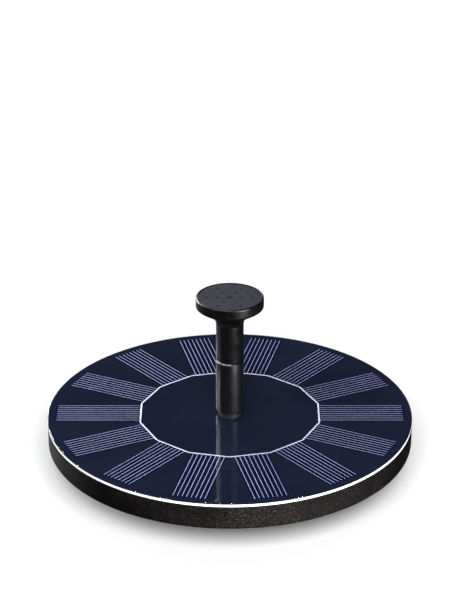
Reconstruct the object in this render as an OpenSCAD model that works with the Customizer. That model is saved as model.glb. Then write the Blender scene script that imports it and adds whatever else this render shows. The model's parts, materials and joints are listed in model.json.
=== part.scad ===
// Floating solar fountain pump: a round solar disc on a float, a submersible pump
// fixed under it, and a riser tube with a spray head standing in the middle.
// Z points up, -Y is the front, and the origin is the middle of the flat underside.

/* [Disc] */
// Diameter of the solar disc and of the float under it
disc_d = 160; // [150:1:200]
// Height of the float shell
float_h = 10.8; // [9:0.1:16]
// Wall and floor thickness of the float shell
float_wall = 1.8; // [1.2:0.1:3]
// Thickness of the panel, clear cover included
panel_t = 1.5; // [1.3:0.1:2.5]

/* [Solar cells] */
// Number of cell strips around the disc
cell_count = 14; // [8:1:14]
// Number of silver fingers on each strip
finger_count = 8; // [4:1:8]
// Distance between neighbouring fingers
finger_pitch = 1.93; // [1.2:0.01:1.95]
// Width of a finger
finger_w = 0.3; // [0.2:0.01:0.5]
// Distance from the centre to the middle of a busbar
busbar_reach = 39.1; // [39:0.1:44]
// Width of a busbar
busbar_w = 1.3; // [0.8:0.1:2]

/* [Pump] */
// Diameter of the pump housing and its strainer
pump_d = 60; // [60:1:68]
// Height of the pump below the float
pump_h = 22.7; // [22.7:0.1:30]
// Height of the strainer cover
strainer_h = 11; // [10.9:0.1:11.2]
// Number of slots in the strainer's side
side_slots = 28; // [16:1:36]
// Radius of the impeller
impeller_r = 8.6; // [7:0.1:8.8]
// Number of impeller blades
blade_count = 6; // [4:1:8]

/* [Spray] */
// Outer diameter of the riser tube
riser_d = 12.1; // [11.6:0.1:14]
// Length of the riser tube
riser_h = 24.7; // [20:0.1:60]
// Length of the tube below the spray head
neck_h = 16.9; // [10:0.1:30]
// Diameter of the spray head
head_d = 29.4; // [28:0.1:32]
// Number of holes in each ring of the spray plate
ring_holes = 6; // [4:1:8]

/* [Hidden] */

// Facets of ordinary circles, of large ones, and of those in small fillets
$fn = 64;
large_fn = 180;
fillet_steps = 5;
// How far a cutting shape runs past the face that it cuts
over = 0.1;

// Heights of the pump's layers above the underside
strainer_floor = 1.5;
cover_z = 6.2;
cover_t = 1.5;
chamber_z = cover_z + cover_t;
chamber_h = 4;
chamber_top = chamber_z + chamber_h;
housing_z = strainer_h;
cavity_z = chamber_top + 1;
float_z = pump_h;
panel_z = float_z + float_h;
panel_top = panel_z + panel_t;

// Pump housing
pump_r = pump_d / 2;
pump_wall = 1.8;
flange_r = pump_r + 1.5;
flange_t = 2;
skirt_gap = 0.3;
strainer_wall = 1.6;
strainer_inner_r = pump_r - strainer_wall;
skirt_r = strainer_inner_r - skirt_gap;
skirt_h = 2.6;
cavity_r = pump_r - pump_wall;
edge_fillet = 1.2;

// Central water duct, and the spigot that the riser tube is pushed on to
duct_bore_r = 3;
duct_r = 5;
spigot_r = 4.4;
spigot_fit = 0.05;
collar_h = 0.4;
riser_gap = 1.6;
riser_z = panel_top + riser_gap;
spigot_top = riser_z + 8.4;

// Rotor, on an axis beside the duct
rotor_x = -15;
chamber_r = 10;
channel_w = 5.6;
channel_inset = 0.4;
channel_angle = asin((chamber_r - channel_w / 2 - channel_inset) / -rotor_x);
channel_l = -rotor_x * cos(channel_angle);
shaft_r = 1;
bush_fit = 0.05;
bush_r = 1.9;
bush_l = 2.4;
well_r = 5.5;
well_wall = 0.8;
well_top = 20.9;
magnet_r = 5;
magnet_z = 12.6;
magnet_top = 20;
sleeve_top = magnet_top + 0.2;
socket_depth = 0.8;
hub_r = 2.6;
hub_drop = 0.9;
eye_r = 4.8;
washer_t = 0.45;
washer_r = 2.1;
washer_fit = 0.1;
plate_z = 10.4;
plate_t = 0.8;
blade_t = 0.9;
blade_z = chamber_z + 0.5;
blade_lift = 0.2;
blade_bend_r = 7;
blade_centre = 5.5;
blade_start = 12;
blade_outer = blade_bend_r + blade_t;
blade_tip = impeller_r - 0.3;
blade_end = acos((blade_centre ^ 2 + blade_outer ^ 2 - blade_tip ^ 2) / (2 * blade_centre * blade_outer));

// Boss around the impeller chamber, with the screws of the volute cover
boss_margin = 2.6;
gasket_in = 0.9;
gasket_out = 1.7;
gasket_t = 0.8;
ear_r = 2.6;
ear_reach = 14.4;
ear_angle = 75;
ear_places = [
    [rotor_x + ear_reach * cos(ear_angle), ear_reach * sin(ear_angle)],
    [rotor_x + ear_reach * cos(ear_angle), -ear_reach * sin(ear_angle)],
    [8.6, 0]
];
ear_screw_r = 0.9;
ear_screw_l = 4;
ear_head_r = 1.7;
ear_head_h = 1;

// Screws that hold the pump up against the float
pillar_place = 17.3;
pillar_r = 3.2;
screw_r = 1.2;
screw_hole_r = 1.4;
screw_head_r = 2.3;
screw_head_h = 1.6;
screw_recess_r = 2.6;
screw_recess = 2.2;
screw_top = float_z + 6;
float_boss_h = 7;
cross_w = 0.5;
cross_depth = 0.7;
cross_reach = 0.7;

// Stator: two poles beside the rotor, joined by legs and a yoke past the duct
pole_in = well_r + well_wall + 0.3;
pole_out = 11.2;
pole_gap = 5;
pole_reach = 5.5;
leg_in = 7.2;
leg_x = rotor_x + 2;
yoke_x = 20;
yoke_w = 4;
leg_w = pole_out - leg_in;
stack_z = 14.7;
sheet_count = 10;
sheet_pitch = 0.47;
sheet_t = 0.45;
stack_h = sheet_count * sheet_pitch;
bobbin_x = 6.4;
bobbin_l = 12.4;
bobbin_gap = 0.06;
bobbin_wall = 0.5;
bobbin_flange = 0.6;
winding_t = 1.1;

// Driver board beside the coils
board_y = 14.2;
board_r = 27;
board_half = 13.4;
board_z = 16.2;
board_t = 1;
potting_z = 21.3;
potting_top = pump_h - 0.5;

// Lead wires from the board up to the panel
wire_r = 0.7;
wire_fit = 0.05;
wire_x = 4;
wire_y = 20;
wire_bend = 2.5;
wire_top = panel_z - 1.6;
tab_y = 29;
tab_r = 1.4;
tab_l = 6;
tab_w = 4;
tab_t = 0.3;
grommet_half = wire_x;
grommet_r = 2.2;
grommet_lip = 0.8;
grommet_flat = 0.98;

// Float
disc_r = disc_d / 2;
groove_h = 0.3;
groove_depth = 0.8;
lip_r = 0.4;
shell_fillet = 1.4;
sleeve_gap = 0.3;
sleeve_r = 8.4;
rib_count = 6;
rib_t = 1.4;
rib_out = 32;
rib_clear = 3.4;
foam_in = 34;
foam_gap = 0.5;
oring_r = 0.8;
seal_seat_r = sleeve_r - 1.5;
seal_seat_h = 2 * oring_r + 0.2;
screw_end_gap = 0.4;

// Layers of the panel
board_edge_t = panel_t - 0.4;
film_z = panel_z + board_edge_t;
film_t = 0.1;
film_r = disc_r - 0.1;
cell_z = film_z + film_t;
cell_t = 0.1;
metal_z = cell_z + cell_t;
finger_t = 0.02;
busbar_t = 0.04;
pocket_top = metal_z + busbar_t;
cover_r = disc_r - 0.05;
panel_hole_r = duct_r + 0.1;
cover_edge = 0.15;
cell_in = busbar_reach - busbar_w / 2;
finger_in = busbar_reach + busbar_w / 2;
finger_out = disc_r - 4;
cell_out = finger_out + 0.6;
cell_half = (finger_count - 1) / 2 * finger_pitch + 1;
busbar_gap = 0.5;
busbar_l = 2 * busbar_reach * tan(180 / cell_count) - busbar_gap;
pocket_in = cell_in - 1;
pocket_out = norm([cell_out, cell_half]) + 0.8;

// Riser tube and spray head
riser_r = riser_d / 2;
tube_bore_r = 3.5;
seam_chamfer = 0.5;
foot_fillet = 1;
riser_top = riser_z + riser_h;
plug_l = 7.8;
neck_r = riser_r - 0.05;
neck_top = riser_top + neck_h;
head_r = head_d / 2;
under_h = 8.5;
edge_z = neck_top + under_h;
head_top = edge_z + 4.5;
head_wall = 1.4;
side_fillet = 0.8;
rim_w = 0.8;
rim_outer_fillet = 0.65;
rim_inner_fillet = 0.15;
seat_w = 1;

// The neck flares into a sloping underside: how far its curve turns from upright,
// how much the slope then rises for each mm outward, and the radius of the curve
flare_turn = 57;
under_slope = 1 / tan(flare_turn);
flare_bend_r = (under_h - (head_r - neck_r) * under_slope)
    / (sin(flare_turn) - under_slope * (1 - cos(flare_turn)));

spray_t = 1.7;
rim_drop = 0.3;
spray_r = head_r - rim_w;
spray_z = head_top - rim_drop - spray_t;
center_hole_r = 1.4;
ring_hole_r = 0.8;
inner_ring_r = 5.4;
outer_ring_r = 10;

// Points of an arc round [x, y] from angle a to angle b
function arc(x, y, r, a, b) = [
    for (i = [0:fillet_steps])
        let (t = a + (b - a) * i / fillet_steps)
        [x + r * cos(t), y + r * sin(t)]
];

// Height of the spray head's underside, and of the floor of its cup, at a distance from the axis
function under_z(r) = edge_z - (head_r - r) * under_slope;
function cup_z(r) = under_z(r) + head_wall / sin(flare_turn);

// Ring between two radii, from height z up by h
module ring(r_in, r_out, z, h, facets = $fn) {
    translate([0, 0, z])
    difference() {
        cylinder(r = r_out, h = h, $fn = facets);
        translate([0, 0, -over]) cylinder(r = r_in, h = h + 2 * over, $fn = facets);
    }
}

// Upright bore of radius r from height a to height b
module bore(r, a, b) {
    translate([0, 0, a]) cylinder(r = r, h = b - a);
}

// Places its children at the four pillars
module at_pillars() {
    for (x = [-1, 1], y = [-1, 1])
        translate([x * pillar_place, y * pillar_place, 0]) children();
}

// Outline of the chamber and its outlet channel, widened by a margin
module volute_outline(margin) {
    translate([rotor_x, 0]) circle(r = chamber_r + margin);
    circle(r = duct_bore_r + margin);
    rotate(180 - channel_angle)
        translate([0, -channel_w / 2 - margin])
        square([channel_l, channel_w + 2 * margin]);
}

// Footprint of the chamber's boss and of the cover that closes it
module volute_footprint() {
    volute_outline(boss_margin);
    for (place = ear_places)
        translate(place) circle(r = ear_r);
}

// Crossed driver slots, cut up into a screw head from height z
module cross_slots(r, z) {
    for (a = [0, 90])
        rotate(a)
        translate([-r * cross_reach, -cross_w / 2, z - over])
        cube([2 * r * cross_reach, cross_w, cross_depth + over]);
}

// Slotted cap over the intake, pushed on to the skirt of the housing
module strainer_cover() {
    slot_w = 1.8;
    slot_z = 2.6;
    slot_h = 6;
    slot_in = 3;
    inner_slots = 12;
    inner_start = 8;
    inner_l = 7;
    outer_slots = 20;
    outer_start = 17.5;
    outer_l = 8;
    color("#17181b")
    difference() {
        rotate_extrude($fn = large_fn)
            polygon(concat(
                [[0, 0]],
                arc(pump_r - edge_fillet, edge_fillet, edge_fillet, -90, 0),
                [
                    [pump_r, strainer_h],
                    [strainer_inner_r, strainer_h],
                    [strainer_inner_r, strainer_floor],
                    [0, strainer_floor]
                ]
            ));
        for (i = [0:side_slots - 1])
            rotate((i + 0.5) * 360 / side_slots)
            translate([pump_r - slot_in, -slot_w / 2, slot_z])
            cube([slot_in + 1, slot_w, slot_h]);
        for (i = [0:inner_slots - 1])
            rotate(i * 360 / inner_slots)
            translate([inner_start, -slot_w / 2, -over])
            cube([inner_l, slot_w, strainer_floor + 2 * over]);
        for (i = [0:outer_slots - 1])
            rotate((i + 0.5) * 360 / outer_slots)
            translate([outer_start, -slot_w / 2, -over])
            cube([outer_l, slot_w, strainer_floor + 2 * over]);
    }
}

// Plate that closes the impeller chamber, with the suction eye and the shaft's lower seat
module volute_cover() {
    arm_w = 1.2;
    arm_bite = 0.5;
    screw_fit = 0.2;
    color("#202226") {
        difference() {
            translate([0, 0, cover_z]) linear_extrude(cover_t) volute_footprint();
            translate([rotor_x, 0, 0]) bore(eye_r, cover_z - over, chamber_z + over);
            for (place = ear_places)
                translate(place) bore(ear_screw_r + screw_fit, cover_z - over, chamber_z + over);
        }
        translate([rotor_x, 0, 0])
        difference() {
            union() {
                bore(hub_r, cover_z - hub_drop, chamber_z);
                for (a = [90, 210, 330])
                    rotate(a)
                    translate([0, -arm_w / 2, cover_z])
                    cube([eye_r + arm_bite, arm_w, cover_t]);
            }
            bore(shaft_r, cover_z, chamber_z + over);
        }
    }
}

// Flat rubber seal between the boss and the volute cover
module volute_gasket() {
    color("#3a1f1c")
    translate([0, 0, chamber_z])
    linear_extrude(gasket_t)
    difference() {
        volute_outline(gasket_out);
        volute_outline(gasket_in);
    }
}

// Three small screws that hold the volute cover
module volute_screws() {
    color("silver")
    for (place = ear_places)
        translate(place)
        difference() {
            union() {
                bore(ear_head_r, cover_z - ear_head_h, cover_z);
                bore(ear_screw_r, cover_z, chamber_z + ear_screw_l);
            }
            cross_slots(ear_head_r, cover_z - ear_head_h);
        }
}

// Bladed wheel with the sleeve that carries the magnet
module impeller() {
    color("#d9dcd6")
    translate([rotor_x, 0, 0])
    difference() {
        union() {
            bore(impeller_r, plate_z, plate_z + plate_t);
            bore(hub_r, blade_z, sleeve_top);
            for (i = [0:blade_count - 1])
                rotate(i * 360 / blade_count)
                translate([blade_centre, 0, blade_z + blade_lift])
                rotate(180 + blade_start)
                rotate_extrude(angle = blade_end - blade_start)
                translate([blade_bend_r, 0])
                square([blade_t, plate_z + over - blade_z - blade_lift]);
        }
        bore(bush_r, blade_z - over, sleeve_top + over);
    }
}

// Two-pole ring magnet on the sleeve
module rotor_magnet() {
    color("#3b3b3e")
    translate([rotor_x, 0, 0]) ring(hub_r, magnet_r, magnet_z, magnet_top - magnet_z);
}

// Two plain bearings inside the sleeve, which turn on the fixed shaft
module rotor_bushes() {
    bush_bore = shaft_r + bush_fit;
    color("#f1efe8")
    translate([rotor_x, 0, 0]) {
        ring(bush_bore, bush_r, blade_z, bush_l);
        ring(bush_bore, bush_r, sleeve_top - bush_l, bush_l);
    }
}

// Fixed ceramic shaft, from the volute cover's hub to the roof of the rotor well
module rotor_shaft() {
    color("#f7f7f4")
    translate([rotor_x, 0, 0]) bore(shaft_r, cover_z, well_top + socket_depth);
}

// Thrust washers at the two ends of the rotor
module thrust_washers() {
    color("#e9e6da")
    translate([rotor_x, 0, 0]) {
        ring(shaft_r + washer_fit, washer_r, chamber_z, washer_t);
        ring(shaft_r + washer_fit, washer_r, well_top - washer_t, washer_t);
    }
}

// Shape of the housing before it is hollowed: wall, boss, skirt, duct and spigot
module housing_block() {
    translate([0, 0, housing_z]) cylinder(r = pump_r, h = pump_h - housing_z, $fn = large_fn);
    translate([0, 0, pump_h - flange_t]) cylinder(r = flange_r, h = flange_t, $fn = large_fn);
    ring(skirt_r - strainer_wall, skirt_r, housing_z - skirt_h, skirt_h + over, large_fn);
    translate([0, 0, chamber_z]) linear_extrude(housing_z - chamber_z + over) volute_footprint();
    bore(duct_r, housing_z, panel_top + collar_h);
    bore(spigot_r, housing_z, spigot_top);
}

// Space for the stator and the driver board, open at the top
module potting_cavity() {
    difference() {
        translate([0, 0, cavity_z]) cylinder(r = cavity_r, h = pump_h, $fn = large_fn);
        bore(duct_r, 0, 2 * pump_h);
        translate([rotor_x, 0, 0]) {
            bore(well_r + well_wall, 0, well_top + over);
            bore(washer_r + well_wall, 0, potting_top);
        }
        at_pillars() bore(pillar_r, 0, 2 * pump_h);
    }
}

// Moulded pump body with the impeller chamber, rotor well and outlet duct
module motor_housing() {
    color("#1b1c20")
    difference() {
        housing_block();
        potting_cavity();
        translate([0, 0, chamber_z - over]) linear_extrude(chamber_h + over) volute_outline(0);
        translate([0, 0, chamber_z - over])
            linear_extrude(gasket_t + over)
            difference() {
                volute_outline(gasket_out);
                volute_outline(gasket_in);
            }
        translate([rotor_x, 0, 0]) {
            bore(well_r, chamber_z, well_top);
            bore(shaft_r, chamber_z, well_top + socket_depth);
        }
        bore(duct_bore_r, chamber_z, spigot_top + over);
        for (place = ear_places)
            translate(place) bore(ear_screw_r, chamber_z - over, chamber_z + ear_screw_l);
        at_pillars() {
            bore(screw_hole_r, 0, pump_h + over);
            bore(screw_recess_r, 0, housing_z + screw_recess);
        }
    }
}

// Outline of one stator sheet
module stator_sheet() {
    difference() {
        intersection() {
            translate([rotor_x, 0]) circle(r = pole_out);
            translate([rotor_x - pole_out, -pole_out]) square([pole_out + pole_reach, 2 * pole_out]);
        }
        translate([rotor_x, 0]) circle(r = pole_in);
        translate([rotor_x - pole_out - 1, -pole_gap / 2]) square([2 * pole_out, pole_gap]);
    }
    for (side = [0, 1])
        mirror([0, side])
        translate([leg_x, leg_in]) square([yoke_x - leg_x + over, leg_w]);
    translate([yoke_x, -pole_out]) square([yoke_w, 2 * pole_out]);
}

// Stack of thin iron sheets that carries the field to the rotor
module stator_core() {
    color("#8d9096")
    for (i = [0:sheet_count - 1])
        translate([0, 0, stack_z + i * sheet_pitch])
        linear_extrude(sheet_t) stator_sheet();
}

// Rectangular tube along X round a stator leg, between two distances from the leg
module leg_tube(inside, outside, x, l) {
    translate([x, leg_in - outside, stack_z - outside])
    difference() {
        cube([l, leg_w + 2 * outside, stack_h + 2 * outside]);
        translate([-over, outside - inside, outside - inside])
            cube([l + 2 * over, leg_w + 2 * inside, stack_h + 2 * inside]);
    }
}

// Plastic formers of the two coils
module coil_bobbins() {
    core = bobbin_gap + bobbin_wall;
    flange = core + winding_t;
    color("#e6e2d3")
    for (side = [0, 1])
        mirror([0, side, 0]) {
            leg_tube(bobbin_gap, core, bobbin_x, bobbin_l);
            leg_tube(bobbin_gap, flange, bobbin_x, bobbin_flange);
            leg_tube(bobbin_gap, flange, bobbin_x + bobbin_l - bobbin_flange, bobbin_flange);
        }
}

// Two copper windings
module stator_coils() {
    core = bobbin_gap + bobbin_wall;
    color("#b87333")
    for (side = [0, 1])
        mirror([0, side, 0])
        leg_tube(core, core + winding_t, bobbin_x + bobbin_flange, bobbin_l - 2 * bobbin_flange);
}

// Magnetic sensor between the poles, with its three legs
module hall_sensor() {
    sensor = [1.5, 4, 3];
    sensor_gap = 0.2;
    sensor_x = rotor_x - pole_in - sensor[0] - sensor_gap;
    leg_r = 0.22;
    leg_pitch = 1.27;
    leg_end = potting_z - 0.5;
    color("#101010")
    translate([sensor_x, -sensor[1] / 2, stack_z])
    cube(sensor);
    color("silver")
    for (i = [-1:1])
        translate([sensor_x + sensor[0] / 2, i * leg_pitch, 0])
        bore(leg_r, stack_z + sensor[2] - over, leg_end);
}

// Circuit board that switches the coils
module driver_board() {
    color("#1f5a37")
    translate([0, 0, board_z])
    linear_extrude(board_t)
    intersection() {
        circle(r = board_r);
        translate([-board_half, board_y]) square([2 * board_half, board_r]);
    }
}

// Parts soldered on the driver board
module driver_components() {
    top = board_z + board_t;
    // Corner and size of each chip, diode and small part
    chips = [
        [[-11, 16], [5, 4, 1.5]],
        [[-10, 21.6], [3, 1.8, 1.1]],
        [[7, 20.6], [3.2, 1.6, 1]]
    ];
    small_parts = [[-1, 15.4], [-1, 17.6]];
    small_size = [2, 1.2, 0.7];
    can_place = [9.4, 17.4];
    can_r = 2;
    can_h = 3.6;
    color("#141414")
    for (chip = chips)
        translate([chip[0][0], chip[0][1], top]) cube(chip[1]);
    color("#b9a27a")
    for (place = small_parts)
        translate([place[0], place[1], top]) cube(small_size);
    color("#2b3440")
    translate(can_place) bore(can_r, top, top + can_h);
}

// Top layer of the resin that seals the motor
module potting_seal() {
    color("#0c0c0e")
    difference() {
        translate([0, 0, potting_z]) cylinder(r = cavity_r, h = potting_top - potting_z, $fn = large_fn);
        bore(duct_r, 0, pump_h);
        at_pillars() bore(pillar_r, 0, pump_h);
        translate([rotor_x, 0, 0]) bore(washer_r + well_wall, 0, pump_h);
        for (x = [-wire_x, wire_x])
            translate([x, wire_y, 0]) bore(wire_r + wire_fit, 0, pump_h);
    }
}

// Four screws from the pump up into the float
module housing_screws() {
    head_z = housing_z + screw_recess - screw_head_h;
    color("silver")
    at_pillars()
    difference() {
        union() {
            bore(screw_head_r, head_z, head_z + screw_head_h);
            bore(screw_r, head_z + screw_head_h, screw_top);
        }
        cross_slots(screw_head_r, head_z);
    }
}

// Oblong outline with round ends, round the two wires
module grommet_outline(r) {
    for (x = [-grommet_half, grommet_half])
        translate([x, wire_y]) circle(r = r);
    translate([-grommet_half, wire_y - r * grommet_flat])
        square([2 * grommet_half, 2 * r * grommet_flat]);
}

// Rubber seal where the wires pass through the floor of the float
module wire_grommet() {
    color("#2a2a2c")
    difference() {
        union() {
            translate([0, 0, float_z]) linear_extrude(float_wall + over) grommet_outline(grommet_r);
            translate([0, 0, float_z + float_wall])
                linear_extrude(grommet_lip)
                grommet_outline(grommet_r + grommet_lip);
        }
        for (x = [-wire_x, wire_x])
            translate([x, wire_y, 0]) bore(wire_r + wire_fit, 0, panel_z);
    }
}

// Lead from the driver board, up through the grommet and across to its tab
module lead_wire(x) {
    run_start = wire_y + wire_bend;
    run_end = tab_y - tab_r;
    translate([x, wire_y, 0]) bore(wire_r, board_z + board_t, wire_top - wire_bend);
    translate([x, run_start, wire_top - wire_bend])
        rotate([90, 0, -90])
        rotate_extrude(angle = 90)
        translate([wire_bend, 0])
        circle(r = wire_r);
    translate([x, run_start, wire_top])
        rotate([-90, 0, 0])
        cylinder(r = wire_r, h = run_end - run_start);
}

module lead_wire_positive() {
    color("#8c1d18") lead_wire(wire_x);
}

module lead_wire_negative() {
    color("#1a1a1a") lead_wire(-wire_x);
}

// Moulded tray that floats the disc, open under the panel
module float_shell() {
    floor_z = float_z + float_wall;
    rim_z = panel_z - groove_h;
    inner_r = disc_r - float_wall;
    color("#26221f")
    difference() {
        union() {
            rotate_extrude($fn = large_fn)
                polygon(concat(
                    [[duct_r + sleeve_gap, float_z]],
                    arc(disc_r - shell_fillet, float_z + shell_fillet, shell_fillet, -90, 0),
                    arc(disc_r - lip_r, rim_z - lip_r, lip_r, 0, 90),
                    [
                        [disc_r - groove_depth, rim_z],
                        [disc_r - groove_depth, panel_z],
                        [inner_r, panel_z],
                        [inner_r, floor_z],
                        [duct_r + sleeve_gap, floor_z]
                    ]
                ));
            ring(duct_r + sleeve_gap, sleeve_r, floor_z - over, panel_z - floor_z + over);
            at_pillars() bore(pillar_r, floor_z - over, floor_z + float_boss_h - float_wall);
            for (i = [0:rib_count - 1])
                rotate(i * 360 / rib_count)
                translate([sleeve_r - over, -rib_t / 2, floor_z - over])
                cube([rib_out - sleeve_r, rib_t, panel_z - floor_z - rib_clear]);
        }
        bore(seal_seat_r, panel_z - seal_seat_h, panel_z + over);
        at_pillars() bore(screw_r, 0, screw_top + screw_end_gap);
        translate([0, 0, float_z - over]) linear_extrude(float_wall + 2 * over) grommet_outline(grommet_r);
    }
}

// Closed-cell foam ring inside the float
module float_foam() {
    color("#55575c")
    ring(
        foam_in,
        disc_r - float_wall - foam_gap,
        float_z + float_wall,
        float_h - float_wall - foam_gap,
        large_fn
    );
}

// O-ring between the water duct and the float's sleeve
module duct_seal() {
    color("#1d1d1f")
    translate([0, 0, panel_z - oring_r - 0.1])
    rotate_extrude()
    translate([duct_r + oring_r, 0])
    circle(r = oring_r);
}

// White base board of the solar panel, whose edge shows as a bright band
module panel_board() {
    color("#eceef2")
    ring(panel_hole_r, disc_r, panel_z, board_edge_t, large_fn);
}

// Dark backing film under the cells
module panel_film() {
    color("#1a2032")
    ring(panel_hole_r, film_r, film_z, film_t, large_fn);
}

// Puts its children at each cell strip, along its own X axis
module at_cells() {
    for (i = [0:cell_count - 1])
        rotate(i * 360 / cell_count) children();
}

// Strips of solar cell
module solar_cells() {
    color("#0f1334")
    at_cells()
    translate([cell_in, -cell_half, cell_z]) cube([cell_out - cell_in, 2 * cell_half, cell_t]);
}

// Thin silver lines along every cell strip
module cell_fingers() {
    color("#b9bdd0")
    at_cells()
    for (i = [0:finger_count - 1])
        translate([finger_in, (i - (finger_count - 1) / 2) * finger_pitch - finger_w / 2, metal_z])
        cube([finger_out - finger_in, finger_w, finger_t]);
}

// Silver bars across the inner ends of the strips
module busbars() {
    color("#dfe2ee")
    at_cells()
    translate([busbar_reach - busbar_w / 2, -busbar_l / 2, metal_z])
    cube([busbar_w, busbar_l, busbar_t]);
}

// Solder tabs under the panel where the leads end
module contact_tabs() {
    color("silver")
    for (x = [-wire_x, wire_x])
        translate([x, tab_y, 0]) {
            translate([-tab_w / 2, -tab_l / 2, panel_z - tab_t]) cube([tab_w, tab_l, tab_t]);
            bore(tab_r, wire_top - wire_r, panel_z - tab_t + over / 2);
        }
}

// Clear glossy resin over the cells
module panel_cover() {
    color("#223", 0.35)
    difference() {
        rotate_extrude($fn = large_fn)
            polygon([
                [panel_hole_r, cell_z],
                [cover_r, cell_z],
                [cover_r, panel_top - cover_edge],
                [cover_r - cover_edge, panel_top],
                [panel_hole_r, panel_top]
            ]);
        ring(pocket_in, pocket_out, film_z, pocket_top - film_z, large_fn);
    }
}

// Lower tube, pushed down over the spigot
module riser_tube() {
    socket_r = spigot_r + spigot_fit;
    color("#121317")
    rotate_extrude()
    polygon(concat(
        [[socket_r, riser_z]],
        arc(riser_r - foot_fillet, riser_z + foot_fillet, foot_fillet, -90, 0),
        [
            [riser_r, riser_top - seam_chamfer],
            [riser_r - seam_chamfer, riser_top],
            [socket_r, riser_top],
            [socket_r, riser_top - plug_l],
            [tube_bore_r, riser_top - plug_l],
            [tube_bore_r, spigot_top],
            [socket_r, spigot_top]
        ]
    ));
}

// Upper tube and bowl of the spray head, with the plug that enters the riser tube
module spray_head() {
    bowl_in = head_r - rim_w;
    fillet_x = head_r - side_fillet;
    color("#141414")
    rotate_extrude($fn = 96)
    polygon(concat(
        [
            [duct_bore_r, riser_top - plug_l],
            [spigot_r, riser_top - plug_l],
            [spigot_r, riser_top],
            [neck_r - seam_chamfer, riser_top],
            [neck_r, riser_top + seam_chamfer],
            [neck_r, neck_top]
        ],
        [
            for (i = [1:2 * fillet_steps])
                let (t = flare_turn * i / (2 * fillet_steps))
                [neck_r + flare_bend_r * (1 - cos(t)), neck_top + flare_bend_r * sin(t)]
        ],
        arc(fillet_x, under_z(fillet_x) + side_fillet / sin(flare_turn), side_fillet, -flare_turn, 0),
        arc(head_r - rim_outer_fillet, head_top - rim_outer_fillet, rim_outer_fillet, 0, 90),
        arc(bowl_in + rim_inner_fillet, head_top - rim_inner_fillet, rim_inner_fillet, 90, 180),
        [
            [bowl_in, spray_z],
            [bowl_in - seat_w, spray_z],
            [bowl_in - seat_w, cup_z(bowl_in - seat_w)],
            [duct_bore_r, cup_z(duct_bore_r)]
        ]
    ));
}

// Ring of upright holes round the middle of the spray plate
module hole_ring(reach) {
    for (i = [0:ring_holes - 1])
        rotate(i * 360 / ring_holes)
        translate([reach, 0, 0])
        bore(ring_hole_r, spray_z - over, spray_z + spray_t + over);
}

// Perforated plate that closes the bowl
module spray_plate() {
    color("#3e3f44")
    difference() {
        translate([0, 0, spray_z]) cylinder(r = spray_r, h = spray_t, $fn = 96);
        bore(center_hole_r, spray_z - over, spray_z + spray_t + over);
        hole_ring(inner_ring_r);
        hole_ring(outer_ring_r);
    }
}

strainer_cover();
volute_cover();
volute_gasket();
volute_screws();
impeller();
rotor_magnet();
rotor_bushes();
rotor_shaft();
thrust_washers();
motor_housing();
stator_core();
coil_bobbins();
stator_coils();
hall_sensor();
driver_board();
driver_components();
potting_seal();
housing_screws();
wire_grommet();
lead_wire_positive();
lead_wire_negative();
float_shell();
float_foam();
duct_seal();
panel_board();
panel_film();
solar_cells();
cell_fingers();
busbars();
contact_tabs();
panel_cover();
riser_tube();
spray_head();
spray_plate();
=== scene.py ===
"""Looks for the round floating fountain pump: camera, studio, materials and the finer pieces.

The scene is in metres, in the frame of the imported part, with the front of the object at -Y.
Sizes of the finer pieces are in millimetres.
"""

import json
import math
import random

import bmesh
import bpy
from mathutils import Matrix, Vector


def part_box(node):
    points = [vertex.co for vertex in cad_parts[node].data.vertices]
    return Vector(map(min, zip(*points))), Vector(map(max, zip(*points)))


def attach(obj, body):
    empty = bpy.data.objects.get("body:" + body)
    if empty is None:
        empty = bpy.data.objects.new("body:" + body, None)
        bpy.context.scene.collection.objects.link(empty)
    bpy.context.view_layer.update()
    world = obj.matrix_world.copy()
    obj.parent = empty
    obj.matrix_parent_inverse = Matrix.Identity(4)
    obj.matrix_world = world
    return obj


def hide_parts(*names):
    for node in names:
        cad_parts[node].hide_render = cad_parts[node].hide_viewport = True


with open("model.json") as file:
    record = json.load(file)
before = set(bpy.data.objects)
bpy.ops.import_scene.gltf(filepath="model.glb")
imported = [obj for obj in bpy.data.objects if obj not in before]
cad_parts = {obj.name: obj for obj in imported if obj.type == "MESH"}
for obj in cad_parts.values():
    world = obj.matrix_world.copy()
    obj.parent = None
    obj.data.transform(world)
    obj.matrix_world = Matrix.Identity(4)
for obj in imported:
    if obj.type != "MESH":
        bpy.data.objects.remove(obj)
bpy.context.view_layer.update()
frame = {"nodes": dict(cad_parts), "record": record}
nodes = frame["nodes"]
scene = bpy.context.scene
MM = 0.001


# ---------------------------------------------------------------- camera

VIEW_ELEVATION = math.radians(27.77)
VIEW_DISTANCE = 0.981
VIEW_PITCH = math.radians(2.89)
VIEW_YAW = math.radians(0.03)
LENS = 133.57
SENSOR = 36
NEAREST = 0.01
FARTHEST = 60

panel_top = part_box("panel_cover")[1].z


def direction(azimuth, elevation):
    """Unit vector from the object: azimuth in degrees from the front, positive to the right."""
    a, e = math.radians(azimuth), math.radians(elevation)
    return Vector((math.sin(a) * math.cos(e), -math.cos(a) * math.cos(e), math.sin(e)))


def aim(obj, forward):
    """Turns a light or camera to look along a direction."""
    obj.rotation_euler = forward.to_track_quat("-Z", "Y").to_euler()


def make_camera():
    data = bpy.data.cameras.new("camera")
    camera = bpy.data.objects.new("camera", data)
    scene.collection.objects.link(camera)
    target = Vector((0, 0, panel_top))
    out = direction(0, math.degrees(VIEW_ELEVATION))
    camera.location = target + out * VIEW_DISTANCE
    tilt = -VIEW_ELEVATION + VIEW_PITCH
    aim(camera, Vector((math.sin(VIEW_YAW), math.cos(tilt), math.sin(tilt))))
    data.lens = LENS
    data.sensor_width = SENSOR
    data.clip_start = NEAREST
    data.clip_end = FARTHEST
    scene.camera = camera


# ---------------------------------------------------------------- studio

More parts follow.
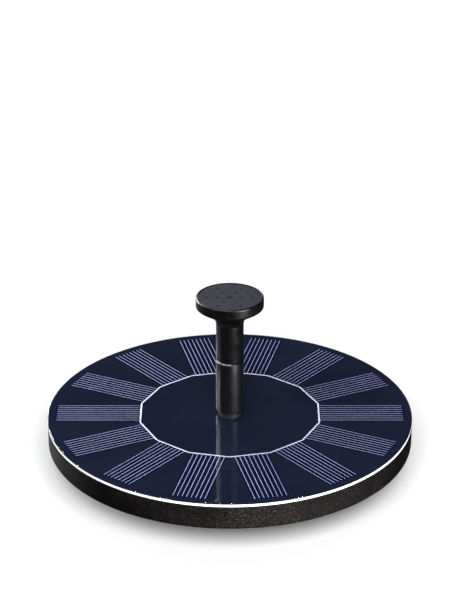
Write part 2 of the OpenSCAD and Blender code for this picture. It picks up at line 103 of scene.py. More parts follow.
LIGHT_AIM = Vector((0, 0, 0.03))    # middle of the object
SUN_ANGLE = 21                      # width in the sky in degrees, for a soft shadow
SUN_POWER = 3.2
SUN_DISTANCE = 2
FLOOR_HALF = 30


def area_light(name, azimuth, elevation, distance, size, power, colour=(1, 1, 1)):
    """A softbox that faces the middle of the object, from a direction around it."""
    data = bpy.data.lights.new(name, "AREA")
    data.shape = "RECTANGLE"
    data.size, data.size_y = size
    data.energy = power
    data.color = colour
    light = bpy.data.objects.new(name, data)
    scene.collection.objects.link(light)
    out = direction(azimuth, elevation)
    light.location = LIGHT_AIM + out * distance
    aim(light, -out)
    return light


def sun_light(name, azimuth, elevation):
    """A soft sun that lights surfaces and casts the shadow, without a highlight of its own."""
    data = bpy.data.lights.new(name, "SUN")
    data.angle = math.radians(SUN_ANGLE)
    data.energy = SUN_POWER
    light = bpy.data.objects.new(name, data)
    scene.collection.objects.link(light)
    out = direction(azimuth, elevation)
    light.location = out * SUN_DISTANCE
    aim(light, -out)
    light.visible_glossy = False


def make_studio():
    floor = make_floor()
    make_world()
    sun_light("front_left_soft", -8, 35)
    sun_light("front_right_soft", 8, 37)
    # Each box: name, azimuth, elevation, distance, size, power and colour
    boxes = [
        area_light("side_box", 41, 4, 0.6, (0.13, 0.10), 9.0, (1.0, 0.97, 0.94)),
        area_light("edge_strip", -158, 27, 1.0, (0.16, 0.30), 6.5, (0.93, 0.95, 1.0)),
        area_light("top_box", -4, 78, 1.2, (0.4, 0.4), 3.0, (0.88, 0.90, 1.0)),
        area_light("rim_front", -8, 61, 0.8, (0.26, 0.07), 4.2, (0.84, 0.86, 1.0)),
        area_light("rim_side", -58, 51, 0.8, (0.30, 0.07), 4.0),
        area_light("rim_back", -108, 30, 0.8, (0.30, 0.07), 3.4),
        area_light("left_low", -130, 4, 0.6, (0.14, 0.10), 5.5),
    ]
    keep_off(boxes, floor)


def keep_off(lights, floor):
    """Small accent boxes light the object only, so the floor keeps one soft shadow."""
    held = bpy.data.collections.new("no_accent")
    held.objects.link(floor)
    held.collection_objects[0].light_linking.link_state = "EXCLUDE"
    for light in lights:
        light.light_linking.receiver_collection = held


def make_world():
    """White to look at; as light for the object, dark but for a soft grey patch overhead."""
    world = bpy.data.worlds.new("studio")
    scene.world = world
    world.use_nodes = True
    g = Graph(world.node_tree)
    place = g.add("ShaderNodeTexCoord")
    height = g.add("ShaderNodeSeparateXYZ", Vector=place.outputs["Generated"]).outputs["Z"]
    dark, overhead = (0.014, 0.014, 0.018), (0.30, 0.30, 0.33)
    glow = g.ramp(height, [(0.0, dark), (0.62, dark), (1.0, overhead)])
    seen = g.add("ShaderNodeBackground", Color=(1, 1, 1, 1), Strength=1.0)
    lit = g.add("ShaderNodeBackground", Color=glow, Strength=1.0)
    path = g.add("ShaderNodeLightPath")
    mix = g.add("ShaderNodeMixShader")
    g.link(path.outputs["Is Camera Ray"], mix.inputs[0])
    g.link(lit.outputs[0], mix.inputs[1])
    g.link(seen.outputs[0], mix.inputs[2])
    out = g.add("ShaderNodeOutputWorld")
    g.link(mix.outputs[0], out.inputs["Surface"])


def make_floor():
    """Pale paper, darker for light that bounces off it than for the eye."""
    mesh = bpy.data.meshes.new("floor")
    corners = [(-1, -1), (1, -1), (1, 1), (-1, 1)]
    mesh.from_pydata([(x * FLOOR_HALF, y * FLOOR_HALF, 0) for x, y in corners], [], [(0, 1, 2, 3)])
    floor = bpy.data.objects.new("floor", mesh)
    scene.collection.objects.link(floor)
    paper, g = material("floor_paper")
    seen = g.add("ShaderNodeLightPath").outputs["Is Camera Ray"]
    g.surface(Base_Color=g.mix(seen, 0.04, 0.82), Roughness=0.9, Specular_IOR_Level=0.1)
    floor.data.materials.append(paper)
    return floor


# ---------------------------------------------------------------- node graphs

class Graph:
    """Short calls for building a node tree."""

    def __init__(self, tree):
        self.tree = tree
        tree.nodes.clear()

    def add(self, kind, **inputs):
        """A node with its sockets, or else its settings, given by name."""
        node = self.tree.nodes.new(kind)
        for name, value in inputs.items():
            key = name.replace("_", " ")
            if key in node.inputs:
                self.put(value, node.inputs[key])
            else:
                setattr(node, name, value)
        return node

    def link(self, a, b):
        self.tree.links.new(a, b)

    def put(self, value, socket):
        if isinstance(value, bpy.types.NodeSocket):
            self.link(value, socket)
        else:
            socket.default_value = value

    def math(self, operation, a, b=0.0):
        node = self.tree.nodes.new("ShaderNodeMath")
        node.operation = operation
        for value, socket in zip((a, b), node.inputs):
            self.put(value, socket)
        return node.outputs[0]

    def mix(self, factor, a, b):
        node = self.tree.nodes.new("ShaderNodeMix")
        node.data_type = "RGBA"
        self.put(factor, node.inputs[0])
        for value, socket in ((a, node.inputs[6]), (b, node.inputs[7])):
            self.put(value if isinstance(value, bpy.types.NodeSocket) else rgba(value), socket)
        return node.outputs[2]

    def ramp(self, factor, stops):
        """Colour or grey stops: (position, value)."""
        node = self.tree.nodes.new("ShaderNodeValToRGB")
        elements = node.color_ramp.elements
        while len(elements) < len(stops):
            elements.new(0.5)
        for element, (position, value) in zip(elements, stops):
            element.position = position
            element.color = rgba(value)
        self.put(factor, node.inputs[0])
        return node.outputs[0]

    def range(self, value, low, high, to_low, to_high):
        """Maps low to high onto to_low to to_high, held at both ends."""
        node = self.tree.nodes.new("ShaderNodeMapRange")
        for v, socket in zip((value, low, high, to_low, to_high), node.inputs):
            self.put(v, socket)
        return node.outputs[0]

    def place(self):
        return self.tree.nodes.new("ShaderNodeTexCoord").outputs["Object"]

    def scaled(self, vector, factors):
        node = self.tree.nodes.new("ShaderNodeVectorMath")
        node.operation = "MULTIPLY"
        self.put(vector, node.inputs[0])
        node.inputs[1].default_value = factors
        return node.outputs[0]

    def around(self, radius):
        """Coordinates unrolled round the Z axis: metres along the wall, metres from the axis, height."""
        split = self.add("ShaderNodeSeparateXYZ", Vector=self.place())
        x, y, z = split.outputs
        turn = self.math("ARCTAN2", y, x)
        squares = self.math("ADD", self.math("MULTIPLY", x, x), self.math("MULTIPLY", y, y))
        out = self.math("SQRT", squares)
        join = self.tree.nodes.new("ShaderNodeCombineXYZ")
        self.put(self.math("MULTIPLY", turn, radius), join.inputs[0])
        self.put(out, join.inputs[1])
        self.put(z, join.inputs[2])
        return join.outputs[0]

    def noise(self, vector, scale, detail, roughness=0.55):
        node = self.tree.nodes.new("ShaderNodeTexNoise")
        self.put(vector, node.inputs["Vector"])
        node.inputs["Scale"].default_value = scale
        node.inputs["Detail"].default_value = detail
        node.inputs["Roughness"].default_value = roughness
        return node.outputs["Fac"]

    def cells(self, vector, scale, feature="F1", randomness=1.0):
        """Distance in a pattern of packed cells."""
        node = self.tree.nodes.new("ShaderNodeTexVoronoi")
        node.feature = feature
        self.put(vector, node.inputs["Vector"])
        node.inputs["Scale"].default_value = scale
        node.inputs["Randomness"].default_value = randomness
        return node.outputs["Distance"]

    def bump(self, height, depth, normal=None):
        """Normal that reads as relief of a depth in metres, over another normal if one is given."""
        node = self.tree.nodes.new("ShaderNodeBump")
        self.put(height, node.inputs["Height"])
        node.inputs["Distance"].default_value = depth
        if normal is not None:
            self.put(normal, node.inputs["Normal"])
        return node.outputs[0]

    def surface(self, **inputs):
        """A Principled shader sent to the output."""
        shader = self.add("ShaderNodeBsdfPrincipled")
        for name, value in inputs.items():
            socket = shader.inputs[name.replace("_", " ")]
            if isinstance(value, bpy.types.NodeSocket):
                self.link(value, socket)
            elif isinstance(value, tuple):
                socket.default_value = rgba(value) if len(socket.default_value) == 4 else value
            else:
                socket.default_value = value
        out = self.tree.nodes.new("ShaderNodeOutputMaterial")
        self.link(shader.outputs[0], out.inputs["Surface"])


def rgba(value):
    """Grey number or colour as four values."""
    if isinstance(value, (int, float)):
        return (value, value, value, 1)
    return tuple(value) + (1,) * (4 - len(value))


def material(name):
    """A new material and the graph that fills it."""
    made = bpy.data.materials.new(name)
    made.use_nodes = True
    return made, Graph(made.node_tree)


def shade(colour, factor):
    """The same colour, lighter or darker."""
    return tuple(min(1.0, c * factor) for c in colour)


# ---------------------------------------------------------------- materials

RIM = 80 * MM           # radius at which the grain of the rim is unrolled
WIRE_TURN = 0.26 * MM   # height of one turn in a coil
SHEET = 0.5 * MM        # height of one iron sheet in the core
INK_FULL = 0.03 * MM    # the board's edge is dark from its top down to here
INK_END = 0.08 * MM     # and white from here down


def moulded(name, colour, rough, grain, depth, mottle, spread, specular=0.5):
    """Moulded plastic: a fine spark-eroded grain, slow colour drift and uneven gloss."""
    made, g = material(name)
    place = g.place()
    slow = g.noise(place, 45, 3)
    mid = g.noise(place, grain * 0.22, 3)
    tiny = g.noise(place, grain, 4, 0.65)
    drift = g.math("ADD", g.math("MULTIPLY", slow, 0.6), g.math("MULTIPLY", mid, 0.4))
    tone = g.range(drift, 0.3, 0.7, 0, 1)
    base = g.mix(tone, shade(colour, 1 - mottle), shade(colour, 1 + mottle))
    gloss = g.range(mid, 0.3, 0.7, rough - spread, rough + spread)
    height = g.math("ADD", tiny, g.math("MULTIPLY", mid, 0.5))
    g.surface(
        Base_Color=base,
        Roughness=gloss,
        Specular_IOR_Level=specular,
        Normal=g.bump(height, depth),
    )
    return made


def brushed(name, colour, rough, along=(1, 1, 1), depth=0.00002, metallic=1.0):
    """Worked metal: fine lines one way, stains and an uneven gloss."""
    made, g = material(name)
    place = g.place()
    lines = g.noise(g.scaled(place, along), 2400, 3, 0.7)
    stain = g.noise(place, 260, 4, 0.6)
    base = g.mix(g.range(stain, 0.35, 0.7, 0, 1), shade(colour, 1.08), shade(colour, 0.72))
    grooves = g.range(lines, 0.2, 0.8, rough * 0.7, rough * 1.3)
    gloss = g.math("ADD", grooves, g.math("MULTIPLY", stain, 0.06))
    g.surface(Base_Color=base, Metallic=metallic, Roughness=gloss, Normal=g.bump(lines, depth))
    return made


def float_plastic():
    """Black moulded wall: a coarse grain along the rim, with pale flecks on its peaks that are painted
    glints of light, strongest at the front where the light falls.
    """
    made, g = material("float_plastic")
    round_rim = g.around(RIM)
    place = g.place()
    streak = g.noise(g.scaled(round_rim, (760, 760, 1700)), 1.0, 4, 0.7)
    pits = g.noise(g.scaled(round_rim, (1900, 1900, 2800)), 1.0, 3, 0.6)
    slow = g.noise(place, 38, 3)
    peaks = g.range(streak, 0.53, 0.64, 0, 1)
    sparks = g.range(pits, 0.53, 0.64, 0, 1)
    # Mask for the painted glints: strongest at the front, a little to the right, where the light falls on
    # the wall
    split = g.add("ShaderNodeSeparateXYZ", Vector=place)
    right = g.math("MULTIPLY", split.outputs["X"], 2.5)
    back = g.math("MULTIPLY", split.outputs["Y"], 11.8)
    side = g.math("SUBTRACT", right, back)
    patch = g.range(g.math("ADD", side, slow), 1.15, 1.5, 0.08, 1)
    painted_glints = g.math("MULTIPLY", g.math("MAXIMUM", peaks, g.math("MULTIPLY", sparks, 0.8)), patch)
    deep = g.mix(g.range(slow, 0.3, 0.7, 0, 1), (0.0006, 0.0005, 0.0006), (0.0012, 0.0010, 0.0010))
    # Pale flecks mixed into the base colour: painted glints of light on the grain
    base = g.mix(g.math("MULTIPLY", painted_glints, 0.5), deep, (0.050, 0.042, 0.039))
    gloss = g.range(streak, 0.3, 0.7, 0.56, 0.38)
    height = g.math("ADD", g.math("MULTIPLY", streak, 0.7), g.math("MULTIPLY", pits, 0.5))
    g.surface(
        Base_Color=base,
        Roughness=gloss,
        Specular_IOR_Level=0.07,
        Normal=g.bump(height, 0.00050),
    )
    return made


def panel_film():
    """Dark blue printed backing under the clear resin."""
    made, g = material("film_blue")
    place = g.place()
    slow = g.noise(place, 22, 3)
    speck = g.noise(place, 900, 3, 0.7)
    base = g.mix(g.range(slow, 0.3, 0.7, 0, 1), (0.0032, 0.0046, 0.0104), (0.0048, 0.0066, 0.0146))
    base = g.mix(g.range(speck, 0.62, 0.8, 0, 0.35), base, (0.010, 0.012, 0.024))
    g.surface(Base_Color=base, Roughness=g.range(speck, 0.3, 0.7, 0.34, 0.46), Specular_IOR_Level=0.0)
    return made


def cell_blue():
    """Silicon strip: deep violet blue with a faint crystal grain."""
    made, g = material("cell_blue")
    place = g.place()
    grain = g.cells(place, 420)
    slow = g.noise(place, 60, 3)
    base = g.mix(g.range(slow, 0.3, 0.7, 0, 1), (0.0010, 0.0021, 0.0098), (0.0020, 0.0031, 0.0145))
    base = g.mix(g.range(grain, 0.2, 0.8, 0.0, 0.30), base, (0.0050, 0.0060, 0.0240))
    g.surface(Base_Color=base, Roughness=g.range(grain, 0, 1, 0.30, 0.42), Specular_IOR_Level=0.0)
    return made


def silver_print(name, colour, scale):
    """Screen-printed silver: beads of paste and dull patches."""
    made, g = material(name)
    place = g.place()
    bead = g.noise(place, scale, 3, 0.7)
    slow = g.noise(place, 180, 3)
    base = g.mix(g.range(slow, 0.3, 0.7, 0, 1), shade(colour, 0.78), colour)
    g.surface(
        Base_Color=base,
        Metallic=0.35,
        Roughness=g.range(bead, 0.3, 0.7, 0.34, 0.6),
        Normal=g.bump(bead, 0.00002),
    )
    return made


def clear_resin():
    """Clear cover: only its gloss shows, over whatever lies under it."""
    made, g = material("clear_resin")
    place = g.place()
    wave = g.noise(place, 26, 2)
    ripple = g.noise(place, 340, 3, 0.6)
    normal = g.bump(ripple, 0.000003, g.bump(wave, 0.00003))
    through = g.add("ShaderNodeBsdfTransparent")
    gloss = g.add("ShaderNodeBsdfGlossy", Color=(1, 1, 1, 1))
    g.put(g.range(ripple, 0.3, 0.7, 0.035, 0.06), gloss.inputs["Roughness"])
    g.put(normal, gloss.inputs["Normal"])
    fresnel = g.add("ShaderNodeFresnel", IOR=1.5)
    inside = g.add("ShaderNodeNewGeometry").outputs["Backfacing"]
    amount = g.math("MULTIPLY", fresnel.outputs[0], g.math("SUBTRACT", 1.0, inside))
    mix = g.add("ShaderNodeMixShader")
    g.link(amount, mix.inputs[0])
    g.link(through.outputs[0], mix.inputs[1])
    g.link(gloss.outputs[0], mix.inputs[2])
    out = g.add("ShaderNodeOutputMaterial")
    g.link(mix.outputs[0], out.inputs["Surface"])
    return made


def board_white():
    """White board edge with the milled marks of its cut, under the dark ink of its top."""
    made, g = material("board_white")
    round_rim = g.around(RIM)
    marks = g.noise(g.scaled(round_rim, (1700, 1700, 900)), 1.0, 3, 0.6)
    slow = g.noise(g.place(), 60, 3)
    white = g.mix(g.range(slow, 0.3, 0.7, 0, 1), (0.54, 0.55, 0.58), (0.64, 0.645, 0.67))
    white = g.mix(g.range(marks, 0.56, 0.8, 0, 0.35), white, (0.35, 0.36, 0.40))
    height = g.add("ShaderNodeSeparateXYZ", Vector=g.place()).outputs["Z"]
    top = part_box("panel_board")[1].z
    ink = g.range(height, top - INK_END, top - INK_FULL, 0, 1)
    g.surface(
        Base_Color=g.mix(ink, white, (0.006, 0.008, 0.016)),
        Roughness=g.range(marks, 0.3, 0.7, 0.3, 0.5),
        Normal=g.bump(marks, 0.00006),
    )
    return made


def wound_copper():
    """Enamelled wire: fine turns round each coil and a warm varnish."""
    made, g = material("copper")
    place = g.place()
    split = g.add("ShaderNodeSeparateXYZ", Vector=place)
    turns = g.math("SINE", g.math("MULTIPLY", split.outputs["Z"], 2 * math.pi / WIRE_TURN))
    stain = g.noise(place, 320, 3)
    base = g.mix(g.range(stain, 0.3, 0.7, 0, 1), (0.52, 0.17, 0.07), (0.78, 0.33, 0.15))
    g.surface(
        Base_Color=base,
        Metallic=0.9,
        Roughness=g.range(stain, 0.2, 0.8, 0.22, 0.38),
        Normal=g.bump(turns, 0.00005),
    )
    return made


def laminations():
    """Stacked iron sheets: thin lines between them, oiled and slightly stained."""
    made, g = material("iron_sheet")
    place = g.place()
    split = g.add("ShaderNodeSeparateXYZ", Vector=place)
    edges = g.math("SINE", g.math("MULTIPLY", split.outputs["Z"], 2 * math.pi / SHEET))
    stain = g.noise(place, 300, 4, 0.6)
    base = g.mix(g.range(stain, 0.35, 0.7, 0, 1), (0.34, 0.35, 0.38), (0.17, 0.15, 0.14))
    base = g.mix(g.range(edges, 0.6, 1.0, 0, 0.6), base, (0.07, 0.07, 0.08))
    g.surface(Base_Color=base, Metallic=0.9, Roughness=0.42, Normal=g.bump(edges, 0.00004))
    return made


def circuit_board():
    """Green lacquered board with a faint weave and copper tracks showing through."""
    made, g = material("circuit_board")
    place = g.place()
    weave = g.noise(g.scaled(place, (1, 1, 0.2)), 1600, 2)
    tracks = g.cells(g.scaled(place, (1, 0.6, 0)), 420, "DISTANCE_TO_EDGE", 0.4)
    base = g.mix(g.range(tracks, 0.02, 0.10, 1, 0), (0.012, 0.11, 0.045), (0.05, 0.22, 0.08))
    g.surface(
        Base_Color=base,
        Roughness=g.range(weave, 0.3, 0.7, 0.22, 0.34),
        Coat_Weight=0.4,
        Normal=g.bump(weave, 0.00002),
    )
    return made


def open_foam():
    """Closed-cell foam: packed small bubbles, with painted shade in the pit of each."""
    made, g = material("foam")
    place = g.place()
    bubbles = g.cells(place, 1100)
    # Darker towards each bubble's middle, where its pit is deepest: painted shade
    base = g.mix(g.range(bubbles, 0.1, 0.7, 0, 1), (0.05, 0.05, 0.055), (0.13, 0.13, 0.14))
    g.surface(Base_Color=base, Roughness=0.85, Sheen_Weight=0.2, Normal=g.bump(bubbles, 0.0002))
    return made


# Moulded plastics: colour, roughness, scale of the grain, its depth in metres,
# drift of colour, drift of gloss and, where it isn't 0.5, specular level
MOULDED = {
    "black_satin": ((0.0004, 0.0004, 0.0010), 0.335, 2600, 0.000008, 0.2, 0.03),
    "black_rough": ((0.0006, 0.0006, 0.0008), 0.34, 1500, 0.00008, 0.3, 0.06, 0.26),
    "spray_face": ((0.014, 0.0145, 0.0185), 0.6, 1300, 0.00010, 0.30, 0.06, 0.05),
    "pump_plastic": ((0.008, 0.008, 0.0095), 0.42, 1500, 0.00004, 0.25, 0.07, 0.35),
    "rubber": ((0.0035, 0.0035, 0.0038), 0.6, 900, 0.00005, 0.3, 0.08, 0.15),
    "ceramic": ((0.82, 0.81, 0.77), 0.18, 1800, 0.000005, 0.04, 0.04),
    "impeller_plastic": ((0.60, 0.62, 0.57), 0.36, 1500, 0.00003, 0.06, 0.05),
    "bobbin_plastic": ((0.70, 0.66, 0.53), 0.45, 1300, 0.00004, 0.08, 0.05),
    "chip_plastic": ((0.016, 0.016, 0.018), 0.5, 1700, 0.00003, 0.2, 0.06),
    "resin_black": ((0.006, 0.006, 0.007), 0.14, 300, 0.00004, 0.3, 0.05),
    "wire_red": ((0.33, 0.018, 0.014), 0.42, 1200, 0.00003, 0.12, 0.05),
    "wire_black": ((0.012, 0.012, 0.013), 0.42, 1200, 0.00003, 0.2, 0.05),
}


def make_materials():
    """Every material of the object by the name of its slot."""
    looks = {name: moulded(name, *values) for name, values in MOULDED.items()}
    looks["float_plastic"] = float_plastic()
    looks["foam"] = open_foam()
    looks["board_white"] = board_white()
    looks["film_blue"] = panel_film()
    looks["cell_blue"] = cell_blue()
    looks["silver_print"] = silver_print("silver_print", (0.33, 0.34, 0.50), 2500)
    looks["busbar"] = silver_print("busbar", (0.52, 0.53, 0.64), 1500)
    looks["clear_resin"] = clear_resin()
    looks["steel"] = brushed("steel", (0.62, 0.62, 0.63), 0.28, (1, 1, 0.2))
    looks["solder"] = brushed("solder", (0.66, 0.66, 0.68), 0.34)
    looks["magnet"] = brushed("magnet", (0.10, 0.10, 0.105), 0.45, (1, 1, 3), 0.00003, 0.6)
    looks["iron_sheet"] = laminations()
    looks["copper"] = wound_copper()
    looks["circuit_board"] = circuit_board()
    return looks


def dress(obj, made):
    """Gives an object one material in place of any it has."""
    obj.data.materials.clear()
    obj.data.materials.append(made)


# ---------------------------------------------------------------- shapes

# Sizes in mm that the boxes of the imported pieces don't give
STRIPS = 14             # cell strips round the disc
LINES = 8               # printed lines on each strip
LINE_PITCH = 1.93
LINE_START = 39.75      # distance of the lines' two ends from the axis
LINE_END = 76
LINE_SHORT = 0.12       # most that a line stops short of its outer end
BAR_REACH = 39.1        # distance of a busbar from the axis
BAR_HALF = 8.87         # half its length
LINE_LOOK = {"width": 0.21, "height": 0.02, "steps": 26, "rough": 0.06, "ends": 0.0}
BAR_LOOK = {"width": 0.66, "height": 0.036, "steps": 34, "rough": 0.22, "ends": 0.1}
END_TAPER = 12          # power that keeps the taper to a line's very ends

COVER_BORE = 5.1
COVER_EDGE = 0.16       # radius of its rim's top edge
POCKET_IN = 37.6        # the hollow over cells and lines runs from here
POCKET_OUT = 77.9       # to here
COVER_RINGS = (79, 60, 38, 16)  # rings of points on its top
FILM_GAP = 0.015        # clearance over the film
BAR_GAP = 0.012         # and over the busbars

PLUG_DEPTH = 7.8        # the spray head's plug in the riser's upper socket
SEAM_ROUND = 0.12       # where the tubes meet, both have a bevel with rounded ends
SEAM_DROP = 0.62        # height of that bevel
SEAM_IN = 0.55          # how far in from the wall it ends
SOCKET = 4.45           # radius of the riser's two sockets
SOCKET_BEVEL = 0.2
RISER_BORE = 3.5        # radius of the bore between them
SPIGOT_TOP = 45.0       # height where its lower socket ends
RISER_RING = 6          # extra ring of points this far under its top
FOOT_ROUND = 1

HEAD_GAP = 0.02         # between the riser's top and the head
HEAD_BORE = 3
PLUG = 4.4              # radius of the plug
PLUG_TIP = 4.2          # and of its tip
NECK = 6.0
FLARE_DROP = 13         # from the head's top down to where its neck flares
BEAD = 0.03             # faint step on the neck, just under the flare
BEAD_FOOT = 0.35        # from the flare down to the step's foot
BEAD_TOP = 0.15         # and to its top
SLOPE = 57              # underside of the bowl, in degrees from the vertical
EDGE_DROP = 4.5         # from the top down to the outer end of that slope
HEAD_WALL = 1.4
UNDER_ROUND = 0.8
RIM_ROUND = 0.65
RIM_RING = 1.6          # extra ring of points on the rim's wall, this far under its top
LIP = 0.8               # width of the rim round the plate
LIP_ROUND = 0.15
LEDGE = 1.8             # width of the rim and the ledge under the plate

PLATE_EDGE = 0.14       # radius of its rounded edges
CENTRE_HOLE = 1.4       # radius of the middle hole
RING_HOLE = 0.8         # and of the others
HOLE_RINGS = (5.4, 10)  # radius of each ring of holes
HOLES_PER_RING = 6
PLATE_FACETS = 128
HOLE_FACETS = 36

SAME_PLACE = 1e-8       # points closer than this, in metres, are joined
LEVEL = 0.9999          # least upward share of a level face's normal


def add_piece(name, mesh, made, body, replaced, angle=30):
    """Puts a mesh in the scene as a piece of a body, in place of CAD nodes, smooth but for sharp edges."""
    obj = bpy.data.objects.new(name, mesh)
    scene.collection.objects.link(obj)
    mesh.shade_smooth()
    mesh.set_sharp_from_angle(angle=math.radians(angle))
    dress(obj, made)
    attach(obj, body)
    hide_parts(*replaced)
    return obj


def bend(x, y, r, start, end, steps):
    """Points in mm on an arc round (x, y), from one angle in degrees to another."""
    turns = [math.radians(start + (end - start) * i / steps) for i in range(steps + 1)]
    return [(x + r * math.cos(t), y + r * math.sin(t)) for t in turns]


def revolve(name, loop, segments):
    """Closed ring surface from a closed loop of (distance, height) points in mm."""
    mesh = bpy.data.meshes.new(name)
    count = len(loop)
    points = []
    faces = []
    for i in range(segments):
        turn = 2 * math.pi * i / segments
        c, s = math.cos(turn) * MM, math.sin(turn) * MM
        points += [(r * c, r * s, z * MM) for r, z in loop]
    for i in range(segments):
        a, b = i * count, (i + 1) % segments * count
        for k in range(count):
            n = (k + 1) % count
            faces.append((a + k, b + k, b + n, a + n))
    mesh.from_pydata(points, [], faces)
    outward(mesh)
    return mesh


def outward(mesh):
    """Joins doubled points and turns every face outwards."""
    work = bmesh.new()
    work.from_mesh(mesh)
    bmesh.ops.remove_doubles(work, verts=work.verts, dist=SAME_PLACE)
    bmesh.ops.recalc_face_normals(work, faces=work.faces)
    work.to_mesh(mesh)
    work.free()


def drilled_plate(name, radius, low, high, holes, edge):
    """Round plate in mm with upright holes (x, y, r), all its edges rounded."""
    curve = bpy.data.curves.new(name, "CURVE")
    curve.dimensions = "2D"
    curve.fill_mode = "BOTH"
    curve.extrude = ((high - low) / 2 - edge) * MM
    curve.bevel_depth = edge * MM
    curve.bevel_resolution = 2
    curve.offset = -edge * MM
    for x, y, r in [(0, 0, radius)] + holes:
        count = PLATE_FACETS if r == radius else HOLE_FACETS
        spline = curve.splines.new("POLY")
        spline.points.add(count - 1)
        spline.use_cyclic_u = True
        for i, point in enumerate(spline.points):
            turn = 2 * math.pi * i / count
            point.co = ((x + r * math.cos(turn)) * MM, (y + r * math.sin(turn)) * MM, 0, 1)
    holder = bpy.data.objects.new(name + "_curve", curve)
    scene.collection.objects.link(holder)
    bpy.context.view_layer.update()
    filled = holder.evaluated_get(bpy.context.evaluated_depsgraph_get())
    mesh = bpy.data.meshes.new_from_object(filled)
    bpy.data.objects.remove(holder)
    bpy.data.curves.remove(curve)
    mesh.name = name
    for v in mesh.vertices:
        v.co.z += (low + high) / 2 * MM
    outward(mesh)
    return mesh


def level_faces(mesh):
    """Flat shading for the level faces, so the rounded edges beside them keep their own."""
    for face in mesh.polygons:
        if abs(face.normal.z) > LEVEL:
            face.use_smooth = False


def strip_frame(index):
    """Directions outward and across for a cell strip."""
    turn = 2 * math.pi * index / STRIPS
    c, s = math.cos(turn), math.sin(turn)
    return Vector((c, s, 0)), Vector((-s, c, 0))


def ribbon(work, start, end, up, rng, width, height, steps, rough, ends):
    """Printed line in mm from start to end: a low rounded section with slightly uneven edges."""
    start, end = Vector(start), Vector(end)
    along = (end - start).normalized()
    side = Vector((0, 0, 1)).cross(along)
    rings = []
    for i in range(steps + 1):
        t = i / steps
        taper = 1 - ends * (2 * abs(t - 0.5)) ** END_TAPER
        left = width / 2 * taper * (1 + rng.uniform(-rough, rough))
        right = width / 2 * taper * (1 + rng.uniform(-rough, rough))
        high = height * (1 + rng.uniform(-rough, 0))
        centre = start.lerp(end, t) + Vector((0, 0, up))
        section = ribbon_section(left, right, high)
        rings.append([work.verts.new((centre + side * a + Vector((0, 0, b))) * MM) for a, b in section])
    count = len(rings[0])
    for a, b in zip(rings, rings[1:]):
        for k in range(count):
            n = (k + 1) % count
            work.faces.new((a[k], b[k], b[n], a[n]))
    work.faces.new(rings[0][::-1])
    work.faces.new(rings[-1])


def ribbon_section(left, right, high):
    """Half of the foot to either side, a steep shoulder and a flat crown."""
    shoulder, crown, rise = 0.9, 0.45, 0.7
    return [
        (-left, 0),
        (-left * shoulder, high * rise),
        (-left * crown, high),
        (right * crown, high),
        (right * shoulder, high * rise),
        (right, 0),
    ]


def printed_lines(looks):
    """The fingers and busbars of the cell strips."""
    rng = random.Random(5)
    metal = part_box("cell_fingers")[0].z / MM
    for name, material_name, node, draw in (
        ("finger_lines", "silver_print", "cell_fingers", draw_fingers),
        ("busbar_ribbons", "busbar", "busbars", draw_busbars),
    ):
        work = bmesh.new()
        for index in range(STRIPS):
            draw(work, index, metal, rng)
        bmesh.ops.recalc_face_normals(work, faces=work.faces)
        mesh = bpy.data.meshes.new(name)
        work.to_mesh(mesh)
        work.free()
        piece = add_piece(name, mesh, looks[material_name], "float", (node,), 50)


def draw_fingers(work, index, up, rng):
    out, across = strip_frame(index)
    for line in range(LINES):
        offset = across * (line - (LINES - 1) / 2) * LINE_PITCH
        far = LINE_END + rng.uniform(-LINE_SHORT, 0)
        ribbon(work, out * LINE_START + offset, out * far + offset, up, rng, **LINE_LOOK)


def draw_busbars(work, index, up, rng):
    out, across = strip_frame(index)
    middle = out * BAR_REACH
    ribbon(work, middle - across * BAR_HALF, middle + across * BAR_HALF, up, rng, **BAR_LOOK)


def cover_piece(looks):
    """Clear resin disc with a rounded rim, a hair above what it covers."""
    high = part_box("panel_cover")[1]
    rim, top = high.x / MM, high.z / MM
    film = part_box("panel_film")[1].z / MM + FILM_GAP
    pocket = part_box("busbars")[1].z / MM + BAR_GAP
    loop = [(COVER_BORE, film), (POCKET_IN, film), (POCKET_IN, pocket)]
    loop += [(POCKET_OUT, pocket), (POCKET_OUT, film), (rim, film)]
    loop += bend(rim - COVER_EDGE, top - COVER_EDGE, COVER_EDGE, 0, 90, 5)
    loop += [(reach, top) for reach in COVER_RINGS]
    loop += [(COVER_BORE, top)]
    mesh = revolve("resin_cover", loop, segments=288)
    piece = add_piece("resin_cover", mesh, looks["clear_resin"], "float", ("panel_cover",))


def riser_piece(looks):
    """Lower tube: rounded foot, bevelled top edge, a socket at each end and a narrower bore between."""
    low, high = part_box("riser_tube")
    r, foot, top = high.x / MM, low.z / MM, high.z / MM
    shelf = top - PLUG_DEPTH
    loop = [(SOCKET + SOCKET_BEVEL, foot)]
    loop += bend(r - FOOT_ROUND, foot + FOOT_ROUND, FOOT_ROUND, -90, 0, 8)
    loop += [(r, top - RISER_RING), (r, top - SEAM_DROP)]
    loop += bend(r - SEAM_ROUND, top - SEAM_DROP, SEAM_ROUND, 0, 45, 3)
    loop += bend(r - SEAM_IN, top - SEAM_ROUND, SEAM_ROUND, 45, 90, 3)
    loop += [(SOCKET, top), (SOCKET, shelf), (RISER_BORE, shelf)]
    loop += [(RISER_BORE, SPIGOT_TOP), (SOCKET, SPIGOT_TOP), (SOCKET, foot + SOCKET_BEVEL)]
    mesh = revolve("riser_body", loop, segments=128)
    piece = add_piece("riser_body", mesh, looks["black_satin"], "riser", ("riser_tube",), 35)


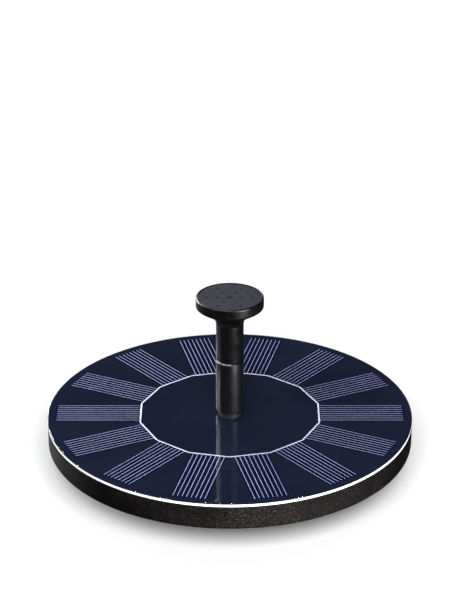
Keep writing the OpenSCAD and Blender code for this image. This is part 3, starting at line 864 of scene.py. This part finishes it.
def head_piece(looks):
    """Neck and bowl of the spray head: a curved flare, a sloping underside and a rounded rim."""
    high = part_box("spray_head")[1]
    head, top = high.x / MM, high.z / MM
    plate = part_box("spray_plate")[0].z / MM
    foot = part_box("riser_tube")[1].z / MM + HEAD_GAP
    tip = foot - PLUG_DEPTH
    neck_top, edge = top - FLARE_DROP, top - EDGE_DROP
    angle = math.radians(SLOPE)
    sin_t, cos_t, slope = math.sin(angle), math.cos(angle), 1 / math.tan(angle)
    flare = (edge - neck_top - (head - NECK) * slope) / (sin_t - slope * (1 - cos_t))

    def under(r):
        return edge - (head - r) * slope

    def cup(r):
        return under(r) + HEAD_WALL / sin_t

    loop = [(HEAD_BORE, tip), (PLUG_TIP, tip), (PLUG, tip + PLUG - PLUG_TIP), (PLUG, foot)]
    loop += bend(NECK - SEAM_IN, foot + SEAM_ROUND, SEAM_ROUND, -90, -45, 3)
    loop += bend(NECK - SEAM_ROUND, foot + SEAM_DROP, SEAM_ROUND, -45, 0, 3)
    bead = NECK + BEAD
    loop += [(NECK, neck_top - BEAD_FOOT), (bead, neck_top - BEAD_TOP), (bead, neck_top)]
    loop += bend(NECK + flare, neck_top, -flare, -3, -SLOPE, 14)
    turn_in = head - UNDER_ROUND
    loop += bend(turn_in, under(turn_in) + UNDER_ROUND / sin_t, UNDER_ROUND, -SLOPE, 0, 8)
    loop += [(head, top - RIM_RING)]
    loop += bend(head - RIM_ROUND, top - RIM_ROUND, RIM_ROUND, 0, 90, 10)
    lip, ledge = head - LIP, head - LEDGE
    loop += bend(lip + LIP_ROUND, top - LIP_ROUND, LIP_ROUND, 90, 180, 4)
    loop += [(lip, plate), (ledge, plate), (ledge, cup(ledge)), (HEAD_BORE, cup(HEAD_BORE))]
    mesh = revolve("head_body", loop, segments=192)
    piece = add_piece("head_body", mesh, looks["black_rough"], "nozzle", ("spray_head",), 40)


def plate_piece(looks):
    """Spray plate: one hole in the middle and rings of smaller ones."""
    low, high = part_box("spray_plate")
    holes = [(0, 0, CENTRE_HOLE)]
    for reach in HOLE_RINGS:
        for i in range(HOLES_PER_RING):
            turn = 2 * math.pi * i / HOLES_PER_RING
            holes.append((reach * math.cos(turn), reach * math.sin(turn), RING_HOLE))
    mesh = drilled_plate("drilled_plate", high.x / MM, low.z / MM, high.z / MM, holes, PLATE_EDGE)
    piece = add_piece("drilled_plate", mesh, looks["spray_face"], "nozzle", ("spray_plate",), 40)
    level_faces(mesh)


def dress_nodes(looks):
    """Gives every CAD node the material of its slot in the record."""
    for part in frame["record"]["subparts"]:
        dress(nodes[part["node"]], looks[part["material_slot"]])


make_camera()
make_studio()
looks = make_materials()
dress_nodes(looks)
printed_lines(looks)
cover_piece(looks)
riser_piece(looks)
head_piece(looks)
plate_piece(looks)

scene.view_settings.view_transform = "Standard"
